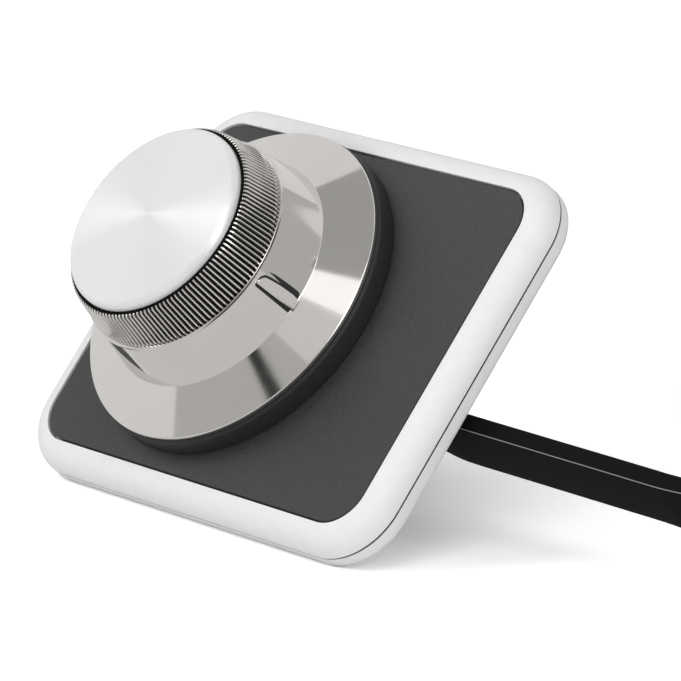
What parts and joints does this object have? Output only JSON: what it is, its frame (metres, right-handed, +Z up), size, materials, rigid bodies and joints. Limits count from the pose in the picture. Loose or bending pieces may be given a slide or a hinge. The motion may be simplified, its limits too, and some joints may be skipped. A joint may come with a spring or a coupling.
{
  "type": "remote bass knob",
  "caption": "Leaning control plate with an inset panel, one large turning metal knob on a potentiometer, a rear housing and a flat cable to a modular plug.",
  "frame": {"origin": "middle of the footprint of the unit without its cord, on the table", "axes": "+X to the right along the plate's lower edge, +Y to the rear, +Z up; the panel faces -Y and +Z"},
  "size_m": [0.1202, 0.1836, 0.0465],
  "materials": {
    "satin_silver": "satin",
    "charcoal_panel": "satin",
    "adhesive": "matte",
    "black_ring": "satin",
    "black_plastic": "matte",
    "chrome": "polished",
    "turned_aluminium": "satin",
    "steel": "satin",
    "brass": "satin",
    "rubber": "matte",
    "cable_sheath": "satin",
    "connector": "gloss",
    "board": "satin",
    "wafer": "matte",
    "clear_plastic": "gloss",
    "contact_gold": "polished",
    "tie_white": "satin"
  },
  "bodies": {
    "base": {"front_frame": "satin_silver", "panel_tape": "adhesive", "front_panel": "charcoal_panel", "base_ring": "black_ring", "rear_cover": "satin_silver", "rear_housing": "black_plastic", "cover_screws": "steel", "housing_screws": "steel", "strain_relief": "rubber", "inner_lead": "cable_sheath", "board_connector": "connector", "circuit_board": "board", "board_standoffs": "brass", "board_screws": "steel", "board_chips": "black_plastic", "pot_bushing": "brass", "pot_case": "steel", "pot_track": "wafer", "pot_terminals": "steel", "pot_washer": "steel", "pot_nut": "steel", "cable_run": "cable_sheath", "cable_coil": "cable_sheath", "coil_tie": "tie_white", "cable_tail": "cable_sheath", "plug_body": "clear_plastic", "plug_contacts": "contact_gold"},
    "knob": {"pot_shaft": "turned_aluminium", "pot_wiper": "wafer", "shaft_clip": "steel", "knob_core": "black_plastic", "hub_clip": "steel", "knob_shell": "chrome", "knob_screws": "steel", "grip_ring": "chrome", "cap_disc": "turned_aluminium"}
  },
  "joints": [
    {"name": "knob_turn", "type": "hinge", "parent": "base", "child": "knob", "pos_m": [-0.007, -0.00115, 0.02427], "axis": [0, -0.766, 0.6428], "range_deg": [-55, 245]}
  ]
}
